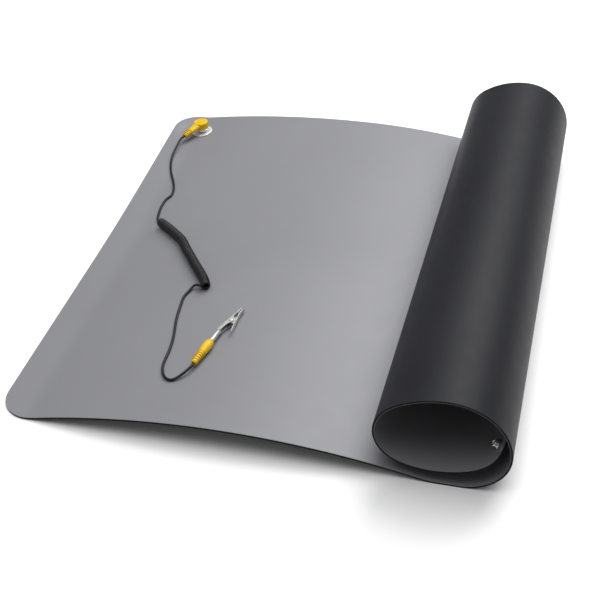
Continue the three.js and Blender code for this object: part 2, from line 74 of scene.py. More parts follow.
def newMaterial(name):
    material = bpy.data.materials.new(name)
    material.use_nodes = True
    nodes = material.node_tree.nodes
    nodes.clear()
    shader = nodes.new("ShaderNodeBsdfPrincipled")
    output = nodes.new("ShaderNodeOutputMaterial")
    material.node_tree.links.new(shader.outputs["BSDF"], output.inputs["Surface"])
    return material, shader


def noise(tree, scale, detail=3.0, roughness=0.5, stretch=(1, 1, 1)):
    coordinates = tree.nodes.new("ShaderNodeTexCoord")
    mapping = tree.nodes.new("ShaderNodeMapping")
    mapping.inputs["Scale"].default_value = stretch
    texture = tree.nodes.new("ShaderNodeTexNoise")
    texture.inputs["Scale"].default_value = scale
    texture.inputs["Detail"].default_value = detail
    texture.inputs["Roughness"].default_value = roughness
    tree.links.new(coordinates.outputs["Object"], mapping.inputs["Vector"])
    tree.links.new(mapping.outputs["Vector"], texture.inputs["Vector"])
    return texture.outputs["Fac"]


def between(tree, fac, low, high):
    ramp = tree.nodes.new("ShaderNodeMapRange")
    ramp.inputs["From Min"].default_value = noiseSpan[0]
    ramp.inputs["From Max"].default_value = noiseSpan[1]
    ramp.inputs["To Min"].default_value = low
    ramp.inputs["To Max"].default_value = high
    tree.links.new(fac, ramp.inputs["Value"])
    return ramp.outputs["Result"]


def tint(tree, fac, dark, light):
    ramp = tree.nodes.new("ShaderNodeValToRGB")
    ramp.color_ramp.elements[0].position = noiseSpan[0]
    ramp.color_ramp.elements[1].position = noiseSpan[1]
    ramp.color_ramp.elements[0].color = (*dark, 1)
    ramp.color_ramp.elements[1].color = (*light, 1)
    tree.links.new(fac, ramp.inputs["Fac"])
    return ramp.outputs["Color"]


def colour(tree, shader, fac, look):
    tree.links.new(tint(tree, fac, look["dark"], look["light"]), shader.inputs["Base Color"])


def roughen(tree, shader, fac, rough, spread):
    below, above = spread
    tree.links.new(between(tree, fac, rough - below, rough + above), shader.inputs["Roughness"])


def bumpFrom(tree, shader, height, distance):
    bump = tree.nodes.new("ShaderNodeBump")
    bump.inputs["Distance"].default_value = distance
    bump.inputs["Strength"].default_value = 1.0
    tree.links.new(height, bump.inputs["Height"])
    tree.links.new(bump.outputs["Normal"], shader.inputs["Normal"])


def rubber(name, cloudScale, grainScale, grainDepth):
    look = finish[name]
    material, shader = newMaterial(name)
    tree = material.node_tree
    clouds = noise(tree, cloudScale, 4.0, 0.55)
    colour(tree, shader, clouds, look)
    handling = noise(tree, cloudScale * 9, 5.0, 0.6)
    roughen(tree, shader, handling, look["rough"], wear["rubber"])
    shader.inputs["Specular IOR Level"].default_value = look["shine"]
    bumpFrom(tree, shader, noise(tree, grainScale, 2.0, 0.4), grainDepth)
    return material


def metal(name, brush=(1, 1, 1)):
    look = finish[name]
    material, shader = newMaterial(name)
    tree = material.node_tree
    shader.inputs["Metallic"].default_value = look["metallic"]
    cloud = noise(tree, 260, 5.0, 0.6)
    colour(tree, shader, cloud, look)
    streaks = noise(tree, 900, 4.0, 0.6, brush)
    roughen(tree, shader, streaks, look["rough"], wear["metal"])
    bumpFrom(tree, shader, streaks, brushDepth)
    return material


def moulded(name, cloudScale, grainScale, grainDepth):
    look = finish[name]
    material, shader = newMaterial(name)
    tree = material.node_tree
    shader.inputs["Specular IOR Level"].default_value = mouldedShine
    colour(tree, shader, noise(tree, cloudScale, 4.0), look)
    rubbed = noise(tree, cloudScale * 3, 5.0, 0.6)
    roughen(tree, shader, rubbed, look["rough"], wear["moulded"])
    bumpFrom(tree, shader, noise(tree, grainScale, 2.0), grainDepth)
    return material


greyTop = rubber("greyTop", 6, 2600, 0.00004)
greyEdge = rubber("greyEdge", 40, 2600, 0.00006)
blackBase = rubber("blackBase", 8, 2200, 0.00005)
blackEdge = rubber("blackEdge", 40, 2200, 0.00008)
nickel = metal("nickel")
# studs' nickel, a darker copy of the washer's nickel: its colour carries painted shade
studNickelPaintedShade = metal("studNickelPaintedShade")
clipSteel = metal("clipSteel", (1, 0.15, 1))
yellowMoulding = moulded("yellowMoulding", 120, 2400, 0.00003)
cordJacket = moulded("cordJacket", 160, 3000, 0.00002)
paleFloor = rubber("paleFloor", 2, 300, 0.00002)
print("materials made")


# Camera at the photograph's view, in millimetres and degrees
cameraView = {
    "place": (221.96, -828.63, 654.12), "yaw": -16.123, "pitch": 38.881, "roll": 3.211, "lens": 66.09,
    "sensor": 36, "clipEnd": 20,
}


def addCamera(view):
    yaw, pitch, roll = (radians(view[turn]) for turn in ("yaw", "pitch", "roll"))
    level = Vector((sin(yaw), cos(yaw), 0))
    right = Vector((cos(yaw), -sin(yaw), 0))
    up = Vector((0, 0, 1))
    forward = cos(pitch) * level - sin(pitch) * up
    down = -sin(pitch) * level - cos(pitch) * up
    rightTurned = cos(roll) * right + sin(roll) * down
    downTurned = -sin(roll) * right + cos(roll) * down
    turn = Matrix((rightTurned, -downTurned, -forward)).transposed().to_4x4()
    data = bpy.data.cameras.new("photoCamera")
    data.lens = view["lens"]
    data.sensor_width = view["sensor"]
    data.clip_end = view["clipEnd"]
    camera = bpy.data.objects.new("photoCamera", data)
    camera.matrix_world = Matrix.Translation(Vector(view["place"]) * mm) @ turn
    bpy.context.collection.objects.link(camera)
    bpy.context.scene.camera = camera


addCamera(cameraView)
print("camera placed")


# The mat's lie, the same driving sizes as the CAD: millimetres and degrees
mat = {
    "length": 750, "width": 500, "corner": 28, "thickness": 2, "base": 1.5,
    "leftStrip": 23, "archHeight": 21, "archEase": 60, "floorStrip": 16,
    "lift": 13, "liftStart": 225, "liftRamp": 370, "liftReach": 225,
    "roll": [(38, 90), (49.5, 90), (73, 35), (32.5, 55), (32.5, 70), (72, 20)], "taper": 0.027,
    "flapTurn": 20, "flapEnd": 80, "flapSeat": 16.5,
    "stud": (34.5, 468), "flapStudInset": (18, 16), "flat": 13, "flatFade": 34,
}
halfSheet = mat["thickness"] / 2
matCorner = Vector((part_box("base_layer")[0][0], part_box("base_layer")[0][1], 0)) / mm


def arc(radius, degrees):
    turn = radians(degrees)
    return radius * turn, turn


def lengthOf(arcs):
    return sum(length for length, turn in arcs)


def walk(arcs, distance):
    x = z = heading = 0.0
    left = distance
    for length, turn in arcs:
        run = min(length, left)
        if turn == 0:
            x += run * cos(heading)
            z += run * sin(heading)
        else:
            bend = turn * run / length
            radius = length / turn
            x += radius * (sin(heading + bend) - sin(heading))
            z += radius * (cos(heading) - cos(heading + bend))
            heading += bend
        left -= run
        if left <= 0:
            break
    return x, z, heading


def rollArcs(scale):
    outer = [arc(radius * scale, turn) for radius, turn in mat["roll"]]
    startX, startZ, _ = walk(outer, lengthOf(outer))
    rise, shoulder = mat["roll"][0][0] * scale, mat["roll"][1][0] * scale
    seat = shoulder - mat["thickness"] - gap
    dx = rise - shoulder + seat * cos(radians(mat["flapSeat"])) - startX
    dz = rise + seat * sin(radians(mat["flapSeat"])) - startZ
    flapTurn, flapEnd = radians(mat["flapTurn"]), radians(mat["flapEnd"])
    a, b = sin(flapTurn), sin(flapEnd) - sin(flapTurn)
    c, d = 1 - cos(flapTurn), cos(flapTurn) - cos(flapEnd)
    first = (dx * d - b * dz) / (a * d - b * c)
    second = (a * dz - c * dx) / (a * d - b * c)
    return outer + [arc(first, mat["flapTurn"]), arc(second, mat["flapEnd"] - mat["flapTurn"])]


arcsByRow = {}


def sheetArcs(y):
    if y not in arcsByRow:
        roll = rollArcs(1 - mat["taper"] * y / mat["width"])
        archLength = mat["length"] - lengthOf(roll) - mat["leftStrip"] - mat["floorStrip"]
        turn = 4 * mat["archHeight"] / archLength
        crown = archLength / (2 * turn) - mat["archEase"]
        ease = (mat["archEase"] * turn, turn)
        strips = [(mat["leftStrip"], 0), ease, (crown * 2 * turn, -2 * turn), ease, (mat["floorStrip"], 0)]
        arcsByRow[y] = strips, roll, lengthOf(strips)
    return arcsByRow[y]


frontFlat = sheetArcs(0)[2]


def stationAt(s, flat):
    if s <= frontFlat:
        return s / frontFlat * flat
    return flat + (s - frontFlat) / (mat["length"] - frontFlat) * (mat["length"] - flat)


def smooth(t):
    t = min(max(t, 0), 1)
    return t * t * (3 - 2 * t)


def liftAt(x, y):
    rear = smooth((y - mat["liftStart"]) / mat["liftRamp"])
    return mat["lift"] * rear * max(0, 1 - x / mat["liftReach"]) ** 2


def restingHeight(x, y):
    strips, roll, _ = sheetArcs(y)
    s = x
    for _ in range(4):
        s += x - walk(strips + roll, s)[0]
    return halfSheet + walk(strips + roll, s)[1] + liftAt(x, y)


studX, studY = mat["stud"]
studHeight = restingHeight(studX, studY)
slopeX = (restingHeight(studX + 1, studY) - restingHeight(studX - 1, studY)) / 2
slopeY = (restingHeight(studX, studY + 1) - restingHeight(studX, studY - 1)) / 2


def flattened(x, y, height):
    away = hypot(x - studX, y - studY)
    hold = smooth((mat["flatFade"] - away) / (mat["flatFade"] - mat["flat"]))
    plane = studHeight + slopeX * (x - studX) + slopeY * (y - studY)
    return height + (plane - height) * hold


def middleHeight(x, y):
    return flattened(x, y, restingHeight(x, y))


def onMat(x, y, lift):
    return Vector((x, y, middleHeight(x, y) + halfSheet + lift))


def sheetPoint(s, y, out):
    strips, roll, flat = sheetArcs(y)
    x, z, heading = walk(strips + roll, stationAt(s, flat))
    height = halfSheet + z
    if s < frontFlat:
        height = flattened(x, y, height + liftAt(x, y))
    return Vector((x - out * sin(heading), y, height + out * cos(heading)))


def placeMesh(name, vertices, faces, material, angle=35):
    mesh = bpy.data.meshes.new(name)
    mesh.from_pydata([(v + matCorner) * mm for v in vertices], [], faces)
    mesh.validate()
    mesh.shade_smooth()
    mesh.set_sharp_from_angle(angle=radians(angle))
    mesh.materials.append(material)
    piece = bpy.data.objects.new(name, mesh)
    bpy.context.collection.objects.link(piece)
    return piece


# The two layers, as fine grids between two heights through the sheet
grid = {"flatStep": 4.5, "rollStep": 3, "rows": 76, "cornerSteps": 12}


def sheetStations():
    corner = []
    for i in range(grid["cornerSteps"] + 1):
        corner.append(mat["corner"] * (1 - cos(pi / 2 * i / grid["cornerSteps"])))
    stations = list(corner)
    steps = ceil((frontFlat - mat["corner"]) / grid["flatStep"])
    stations += [mat["corner"] + (frontFlat - mat["corner"]) * i / steps for i in range(1, steps + 1)]
    s = frontFlat
    for length, turn in sheetArcs(0)[1]:
        parts = ceil(turn / radians(grid["rollStep"]))
        for i in range(1, parts + 1):
            at = s + length * i / parts
            if at < mat["length"] - mat["corner"] - 1:
                stations.append(at)
        s += length
    return stations + [mat["length"] - inset for inset in reversed(corner)]


def cornerInset(s):
    fromEnd = min(s, mat["length"] - s, mat["corner"])
    return mat["corner"] - sqrt(mat["corner"] ** 2 - (mat["corner"] - fromEnd) ** 2)


def sheetLayer(name, low, high, material, edge, node):
    stations = sheetStations()
    columns = grid["rows"] + 1
    vertices = []
    for out in (low, high):
        for s in stations:
            inset = cornerInset(s)
            for j in range(columns):
                share = j / grid["rows"]
                vertices.append(sheetPoint(s, inset + share * (mat["width"] - 2 * inset), out))
    count = len(stations) * columns
    faces = []
    for i in range(len(stations) - 1):
        for j in range(columns - 1):
            a, b = i * columns + j, (i + 1) * columns + j
            faces.append((count + a, count + b, count + b + 1, count + a + 1))
            faces.append((a, a + 1, b + 1, b))
    border = [i * columns for i in range(len(stations))]
    border += [(len(stations) - 1) * columns + j for j in range(1, columns)]
    border += [i * columns + columns - 1 for i in range(len(stations) - 2, -1, -1)]
    border += [j for j in range(columns - 2, 0, -1)]
    for a, b in zip(border, border[1:] + border[:1]):
        faces.append((a, b, count + b, count + a))
    layer = placeMesh(name, vertices, faces, material)
    layer.data.materials.append(edge)
    for face in layer.data.polygons[-len(border):]:
        face.material_index = 1
    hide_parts(node)
    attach(layer, "mat")
    return layer


bond = mat["base"] - halfSheet
blackSheet = sheetLayer("blackSheet", -halfSheet, bond, blackBase, blackEdge, "base_layer")
greySheet = sheetLayer("greySheet", bond, halfSheet, greyTop, greyEdge, "top_layer")
print("mat laid and rolled")


# Turned and swept shapes in millimetres, in a frame of their own
def turnedShape(profile, sides=64):
    turns = [2 * pi * i / sides for i in range(sides)]
    return [[Vector((r * cos(turn), r * sin(turn), z)) for turn in turns] for r, z in profile]


def roundedCorner(centre, radius, start, end, steps=5):
    return [(centre[0] + radius * cos(radians(start + (end - start) * i / steps)),
             centre[1] + radius * sin(radians(start + (end - start) * i / steps))) for i in range(steps + 1)]


def ringMesh(rings, closed=False):
    sides = len(rings[0])
    vertices = [v for ring in rings for v in ring]
    faces = []
    spans = len(rings) if closed else len(rings) - 1
    for k in range(spans):
        a, b = k * sides, (k + 1) % len(rings) * sides
        faces += [(a + i, a + (i + 1) % sides, b + (i + 1) % sides, b + i) for i in range(sides)]
    if not closed:
        faces.append(tuple(range(sides - 1, -1, -1)))
        faces.append(tuple((len(rings) - 1) * sides + i for i in range(sides)))
    return vertices, faces


def turnedPiece(name, profile, place, material, closed=False, sides=64, angle=35):
    vertices, faces = ringMesh(turnedShape(profile, sides), closed)
    piece = placeMesh(name, [place @ v for v in vertices], faces, material, angle)
    tidyNormals(piece.data)
    return piece


def tidyNormals(mesh):
    shape = bmesh.new()
    shape.from_mesh(mesh)
    bmesh.ops.remove_doubles(shape, verts=shape.verts, dist=1e-7)
    bmesh.ops.recalc_face_normals(shape, faces=shape.faces)
    shape.to_mesh(mesh)
    shape.free()


def frameOn(s, y):
    origin = sheetPoint(s, y, halfSheet)
    along = (sheetPoint(s + 1, y, halfSheet) - sheetPoint(s - 1, y, halfSheet)).normalized()
    across = (sheetPoint(s, y + 1, halfSheet) - sheetPoint(s, y - 1, halfSheet)).normalized()
    out = along.cross(across).normalized()
    return Matrix.Translation(origin) @ Matrix((along, out.cross(along), out)).transposed().to_4x4()


# The cord: snap lead, close curly section and plug lead, one wire
cord = {
    "wire": 1.2, "coil": 4.8, "pitch": 2.46, "turnSteps": 16, "lastTurn": 0.68, "sides": 10, "straight": 5,
}
coilRoute = [
    (49.5, 282.8), (61.7, 272.3), (73.3, 261.1), (85.5, 248.4), (96.1, 232.6), (105.6, 219.1),
    (116, 204.3), (125.7, 191.1), (131.2, 182.5), (135.7, 173.1),
]
snapLeadRoute = [
    (18.8, 426.7, 6.5), (18, 411.5, 3), (21.6, 394.2, 1.5), (28.1, 377.9, 1.5), (35.4, 363.3, 1.5),
    (41.1, 347.9, 1.5), (42.2, 337, 1.5), (38.9, 330.2, 1.5), (38, 318.7, 1.5), (39.5, 305.5, 1.5),
    (42.9, 292.7, 1.5),
]
plugLeadRoute = [
    (123.3, 176.7, 3.6), (120.2, 170.8, 2.2), (117.6, 162.3, 1.5), (118.8, 148.6, 1.5),
    (120.5, 135.3, 1.5), (122.8, 123.3, 1.5), (126, 110.7, 1.5), (128.3, 99.3, 1.5), (130, 85.1, 1.5),
    (130.4, 73, 1.5), (131.7, 64, 1.5), (134.9, 56.2, 1.5), (138.8, 51.3, 1.5), (144.1, 49.2, 1.5),
    (149, 51.6, 2.2),
]

# The snap on its stud: the head turned back to stand nearly level, its tail drooping
snap = {
    "washer": 11.5, "washerThick": 0.8, "shank": 2.4, "collar": 4.5, "collarThick": 0.7,
    "button": 3.5, "waist": 3, "buttonHigh": 3.6, "dimple": 1.6, "rivet": 5.5, "rivetThick": 0.8,
    "head": 8.3, "rise": 4.8, "high": 7.6, "edge": 1.6, "wall": 1.5, "lean": -5, "socketHigh": 4,
    "tailHeading": 240.8, "tailLong": 27, "tailRoot": 4.2, "tailEnd": 3.1, "tailHigh": 4.9, "droop": 9.5,
    "breadth": 1.18, "tailFlat": 0.88, "flare": 1.5, "flareFade": 2.4,
    "ribs": 4, "pitch": 2.6, "ribDepth": 0.5, "ribSeat": 0.9, "ribBreadth": 1.06, "ribThick": 0.17,
}
washerTop = gap + snap["washerThick"]
buttonFoot = washerTop + gap + snap["collarThick"]
headFoot = washerTop + snap["rise"]
headTop = headFoot + snap["high"]
leanAbout = Vector((0, 0, buttonFoot + snap["buttonHigh"] / 2))
rearStudFrame = frameOn(studX, studY)
flapStudFrame = frameOn(mat["length"] - mat["flapStudInset"][0], mat["flapStudInset"][1])
tailPlace = (Matrix.Rotation(radians(snap["tailHeading"]), 4, "Z")
             @ Matrix.Translation((0, 0, headFoot + snap["tailHigh"]))
             @ Matrix.Rotation(radians(snap["droop"]), 4, "Y"))
leanAxis = Vector((-sin(radians(snap["tailHeading"])), cos(radians(snap["tailHeading"])), 0))
leanFrame = (Matrix.Translation(leanAbout) @ Matrix.Rotation(radians(snap["lean"]), 4, leanAxis)
             @ Matrix.Translation(-leanAbout))
snapFrame = rearStudFrame @ leanFrame
tailFrame = snapFrame @ tailPlace


def onTailAxis(u):
    return tailFrame @ Vector((u, 0, 0))


# Plug and clip along one axis
plug = {
    "tail": (158.9, 68), "heading": 79.4, "long": 31.5, "radius": 4.3, "tailRadius": 2.9, "nose": 0.62,
    "belly": 0.76, "neck": 14.6, "pin": 1.6, "pinSeat": 12,
    "ribs": 5, "pitch": 2.7, "ribFrom": 1.6, "firstRib": 0.92, "lastRib": 1.1, "ribThick": 0.18,
}
clip = {
    "sheet": 0.6, "width": 5.2, "long": 50.5, "wrist": 13.5, "bend": -6.3, "softEdge": 0.12,
    "pivot": (30, -2.9), "pivotRadius": 1.1, "pivotHead": 1.9, "headThick": 0.5,
    "spring": 2.3, "springWire": 0.26, "springTurns": 2.5, "springSteps": 24,
}
clipRear = plug["long"] + gap


def axisFrame():
    axis = Vector((cos(radians(plug["heading"])), sin(radians(plug["heading"])), 0))

    def alongMat(u, lift):
        return onMat(plug["tail"][0] + axis.x * u, plug["tail"][1] + axis.y * u, lift)

    bellyU = plug["long"] * plug["belly"]
    belly = alongMat(bellyU, plug["radius"] + gap)
    nose = alongMat(clipRear + clip["long"], clip["width"] / 2 + clip["headThick"] + gap)
    along = (nose - belly).normalized()
    side = Vector((0, 0, 1)).cross(along).normalized()
    left, right = (middleHeight(*(belly + side * w).to_2d()) for w in (plug["radius"], -plug["radius"]))
    side.z = (left - right) / (2 * plug["radius"])
    side.normalize()
    up = along.cross(side).normalized()
    origin = belly - along * bellyU
    return Matrix.Translation(origin) @ Matrix((along, up.cross(along), up)).transposed().to_4x4()


plugFrame = axisFrame()


def splinePoints(points, step):
    out = []
    for i in range(len(points) - 1):
        p0 = points[max(i - 1, 0)] if i else points[0] * 2 - points[1]
        p1, p2 = points[i], points[i + 1]
        p3 = points[i + 2] if i + 2 < len(points) else points[-1] * 2 - points[-2]
        knots = [0.0]
        for a, b in ((p0, p1), (p1, p2), (p2, p3)):
            knots.append(knots[-1] + max((b - a).length, 1e-6) ** 0.5)
        parts = max(1, ceil((p2 - p1).length / step))
        for k in range(parts):
            t = knots[1] + (knots[2] - knots[1]) * k / parts
            a1 = p0.lerp(p1, (t - knots[0]) / (knots[1] - knots[0]))
            a2 = p1.lerp(p2, (t - knots[1]) / (knots[2] - knots[1]))
            a3 = p2.lerp(p3, (t - knots[2]) / (knots[3] - knots[2]))
            b1 = a1.lerp(a2, (t - knots[0]) / (knots[2] - knots[0]))
            b2 = a2.lerp(a3, (t - knots[1]) / (knots[3] - knots[1]))
            out.append(b1.lerp(b2, (t - knots[1]) / (knots[2] - knots[1])))
    return out + [points[-1]]


def curlyTurns():
    line = splinePoints([onMat(x, y, cord["coil"] + gap) for x, y in coilRoute], 0.5)
    distances = [0.0]
    for a, b in zip(line, line[1:]):
        distances.append(distances[-1] + (b - a).length)
    turns = int(distances[-1] / cord["pitch"] - 1)
    steps = turns * cord["turnSteps"] + round(cord["turnSteps"] * cord["lastTurn"])
    reach = cord["coil"] - cord["wire"]
    margin = cord["wire"]
    points = []
    k = 0
    for step in range(steps + 1):
        at = margin + (distances[-1] - 2 * margin) * step / steps
        while k < len(distances) - 2 and distances[k + 1] < at:
            k += 1
        share = (at - distances[k]) / (distances[k + 1] - distances[k])
        centre = line[k].lerp(line[k + 1], share)
        along = (line[min(k + 3, len(line) - 1)] - line[max(k - 3, 0)]).normalized()
        side = Vector((0, 0, 1)).cross(along).normalized()
        up = along.cross(side)
        phase = 2 * pi * step / cord["turnSteps"]
        points.append(centre + reach * (sin(phase) * side - cos(phase) * up))
    return points


def wirePoints():
    tailEnd = onTailAxis(snap["tailLong"] + gap)
    lead = [tailEnd, onTailAxis(snap["tailLong"] + cord["straight"])]
    lead += [onMat(*spot) for spot in snapLeadRoute]
    turns = curlyTurns()
    plugBack = plugFrame @ Vector((-gap, 0, 0))
    tail = [onMat(*spot) for spot in plugLeadRoute]
    tail += [plugFrame @ Vector((-cord["straight"], 0, 0)), plugBack]
    return splinePoints(lead + turns + tail, 2.2)


def tubeRings(centres, radius, sides):
    rings = []
    normal = Vector((0, 0, 1))
    for i, centre in enumerate(centres):
        along = (centres[min(i + 1, len(centres) - 1)] - centres[max(i - 1, 0)]).normalized()
        normal = (normal - along * normal.dot(along)).normalized()
        across = along.cross(normal)
        rings.append([centre + radius * (cos(2 * pi * k / sides) * normal + sin(2 * pi * k / sides) * across)
                      for k in range(sides)])
    return rings


wireCentres = wirePoints()
vertices, faces = ringMesh(tubeRings(wireCentres, cord["wire"], cord["sides"]))
earthCord = placeMesh("earthCord", vertices, faces, cordJacket, 60)
tidyNormals(earthCord.data)
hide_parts("snap_lead", "coiled_cord", "plug_lead")
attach(earthCord, "mat")


# Small turned metal: washer, studs, rivet and spring
def bevelLive(piece, width, segments=2):
    bevel = piece.modifiers.new("edges", "BEVEL")
    bevel.width = width * mm
    bevel.segments = segments
    bevel.limit_method = "ANGLE"
    bevel.angle_limit = radians(35)
    bevel.harden_normals = True


def settle(piece, node, body="mat"):
    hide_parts(node)
    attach(piece, body)
    return piece


def washerProfile():
    bore, edge = snap["shank"] + gap, snap["washer"]
    crown = [(edge - 0.25, gap), (edge, gap + 0.25), (edge - 0.1, gap + 0.55), (edge - 0.7, washerTop)]
    return [(bore, gap)] + crown + [(edge - 2.2, washerTop - 0.12), (bore, washerTop - 0.12)]


def studProfile(seat):
    back, foot = -mat["thickness"] - gap, seat + gap
    collarTop = foot + snap["collarThick"]
    top = collarTop + snap["buttonHigh"]
    rivet = [(0.6, back - snap["rivetThick"]), (snap["rivet"] - 0.5, back - snap["rivetThick"]),
             (snap["rivet"], back - 0.3), (snap["rivet"], back)]
    shank = [(snap["shank"], back), (snap["shank"], foot)]
    shank += [(snap["collar"], foot), (snap["collar"], collarTop)]
    swell = [(snap["waist"], collarTop), (snap["waist"], collarTop + 1)]
    swell += roundedCorner((snap["button"] - 0.9, top - 1.1), 0.9, -35, 80, 8)
    dimple = [(snap["dimple"] + 0.2, top - 0.15), (snap["dimple"], top - 0.4)]
    dimple.append((snap["dimple"] - 0.2, top - 1.4))
    return rivet + shank + swell + dimple + [(0.4, top - 1.4)]


washerDisc = turnedPiece("washerDisc", washerProfile(), rearStudFrame, nickel, closed=True, sides=96)
settle(washerDisc, "snap_washer")
flapSag = snap["collar"] ** 2 / (2 * mat["roll"][0][0])
for name, node, place, seat in (
    ("rearSnapStud", "rear_stud", rearStudFrame, washerTop),
    ("flapSnapStud", "flap_stud", flapStudFrame, flapSag),
):
    # both studs take the nickel whose colour is painted darker as shade
    stud = turnedPiece(name, studProfile(seat), place, studNickelPaintedShade, sides=72)
    bevelLive(stud, 0.08)
    settle(stud, node)
print("studs and washer turned")


# Ribs that repeat along a moulded tail
def ribTree():
    tree = bpy.data.node_groups.new("tailRibs", "GeometryNodeTree")
    tree.interface.new_socket("Geometry", in_out="INPUT", socket_type="NodeSocketGeometry")
    for name in ("Count", "Start", "Pitch", "First Radius", "Last Radius", "Breadth", "Thickness"):
        kind = "NodeSocketInt" if name == "Count" else "NodeSocketFloat"
        tree.interface.new_socket(name, in_out="INPUT", socket_type=kind)
    tree.interface.new_socket("Finish", in_out="INPUT", socket_type="NodeSocketMaterial")
    tree.interface.new_socket("Geometry", in_out="OUTPUT", socket_type="NodeSocketGeometry")
    add, link = tree.nodes.new, tree.links.new
    given, out = add("NodeGroupInput"), add("NodeGroupOutput")

    def joined(x, y, z):
        vector = add("ShaderNodeCombineXYZ")
        for socket, source in zip(("X", "Y", "Z"), (x, y, z)):
            if source is not None:
                link(source, vector.inputs[socket])
        return vector.outputs["Vector"]

    line = add("GeometryNodeMeshLine")
    link(given.outputs["Count"], line.inputs["Count"])
    link(joined(given.outputs["Start"], None, None), line.inputs["Start Location"])
    link(joined(given.outputs["Pitch"], None, None), line.inputs["Offset"])
    ring = add("GeometryNodeCurvePrimitiveCircle")
    section = add("GeometryNodeCurvePrimitiveCircle")
    hoop = add("GeometryNodeCurveToMesh")
    ring.inputs["Resolution"].default_value = 48
    ring.inputs["Radius"].default_value = 1
    section.inputs["Resolution"].default_value = 12
    link(given.outputs["Thickness"], section.inputs["Radius"])
    link(ring.outputs["Curve"], hoop.inputs["Curve"])
    link(section.outputs["Curve"], hoop.inputs["Profile Curve"])
    last, index, radius = add("ShaderNodeMath"), add("GeometryNodeInputIndex"), add("ShaderNodeMapRange")
    last.operation = "SUBTRACT"
    last.inputs[1].default_value = 1
    link(given.outputs["Count"], last.inputs[0])
    link(index.outputs["Index"], radius.inputs["Value"])
    link(last.outputs["Value"], radius.inputs["From Max"])
    link(given.outputs["First Radius"], radius.inputs["To Min"])
    link(given.outputs["Last Radius"], radius.inputs["To Max"])
    wide = add("ShaderNodeMath")
    wide.operation = "MULTIPLY"
    link(radius.outputs["Result"], wide.inputs[0])
    link(given.outputs["Breadth"], wide.inputs[1])
    place = add("GeometryNodeInstanceOnPoints")
    link(line.outputs["Mesh"], place.inputs["Points"])
    link(hoop.outputs["Mesh"], place.inputs["Instance"])
    place.inputs["Rotation"].default_value = (0, pi / 2, 0)
    size = joined(radius.outputs["Result"], wide.outputs["Value"], radius.outputs["Result"])
    link(size, place.inputs["Scale"])
    real, dress = add("GeometryNodeRealizeInstances"), add("GeometryNodeSetMaterial")
    link(place.outputs["Instances"], real.inputs["Geometry"])
    link(real.outputs["Geometry"], dress.inputs["Geometry"])
    link(given.outputs["Finish"], dress.inputs["Material"])
    link(dress.outputs["Geometry"], out.inputs["Geometry"])
    return tree


ribs = ribTree()


def plainMesh(piece):
    bpy.context.view_layer.update()
    ready = piece.evaluated_get(bpy.context.evaluated_depsgraph_get())
    return bpy.data.meshes.new_from_object(ready)


def ribShapes(sizes):
    seed = bpy.data.objects.new("ribSeed", bpy.data.meshes.new("ribSeed"))
    bpy.context.collection.objects.link(seed)
    grow = seed.modifiers.new("ribs", "NODES")
    grow.node_group = ribs
    for item in ribs.interface.items_tree:
        if item.item_type == "SOCKET" and item.in_out == "INPUT" and item.name in sizes:
            grow[item.identifier] = sizes[item.name]
    mesh = plainMesh(seed)
    shape = [v.co.copy() for v in mesh.vertices], [tuple(face.vertices) for face in mesh.polygons]
    bpy.data.objects.remove(seed)
    return shape


def ovalRings(stations, sides=48):
    turns = [2 * pi * i / sides for i in range(sides)]
    return [[Vector((u, wide * cos(turn), high * sin(turn))) for turn in turns] for u, wide, high in stations]


# Shapes melted into one moulding: voxels join them and leave soft corners
melt = {"voxel": 0.18, "rounds": 2}


def moulding(name, shapes, place, material):
    vertices, faces = [], []
    for points, polygons in shapes:
        first = len(vertices)
        vertices += [place @ point for point in points]
        faces += [tuple(first + i for i in polygon) for polygon in polygons]
    piece = placeMesh(name, vertices, faces, material)
    tidyNormals(piece.data)
    remesh = piece.modifiers.new("melt", "REMESH")
    remesh.mode = "VOXEL"
    remesh.voxel_size = melt["voxel"] * mm
    soften = piece.modifiers.new("soften", "SMOOTH")
    soften.iterations = melt["rounds"]
    mesh = plainMesh(piece)
    piece.modifiers.clear()
    piece.data = mesh
    mesh.shade_smooth()
    mesh.materials.clear()
    mesh.materials.append(material)
    return piece


# Snap head: cap over the socket, flaring into its oval ribbed tail
socketFoot = buttonFoot + gap + snap["collar"] * sin(radians(abs(snap["lean"])))
hollowTop = socketFoot + snap["socketHigh"] + gap


def capProfile():
    radius, edge, inner = snap["head"], snap["edge"], snap["head"] - snap["wall"]
    profile = [(0.5, hollowTop), (inner, hollowTop), (inner, headFoot)]
    profile += roundedCorner((radius - 0.35, headFoot + 0.35), 0.35, -90, 0, 3)
    profile += roundedCorner((radius - edge, headTop - edge), edge, 0, 90, 8)
    return profile + [(0.5, headTop)]


def snapTailStations():
    long, ribbed = snap["tailLong"], snap["tailLong"] - snap["ribs"] * snap["pitch"]
    start = snap["head"] - snap["wall"] + 0.3
    stations = []
    for i in range(41):
        u = start + (long - start) * i / 40
        radius = snap["tailRoot"] + (snap["tailEnd"] - snap["tailRoot"]) * u / long
        radius -= snap["ribDepth"] * smooth((u - ribbed) * 2)
        flare = snap["flare"] * exp(-(u - start) / snap["flareFade"])
        stations.append((u, radius * snap["breadth"] + flare, radius * snap["tailFlat"]))
    end = stations[-1]
    return stations[:-1] + [(end[0] - 0.15, end[1] - 0.1, end[2] - 0.1), (end[0], end[1] - 0.5, end[2] - 0.5)]


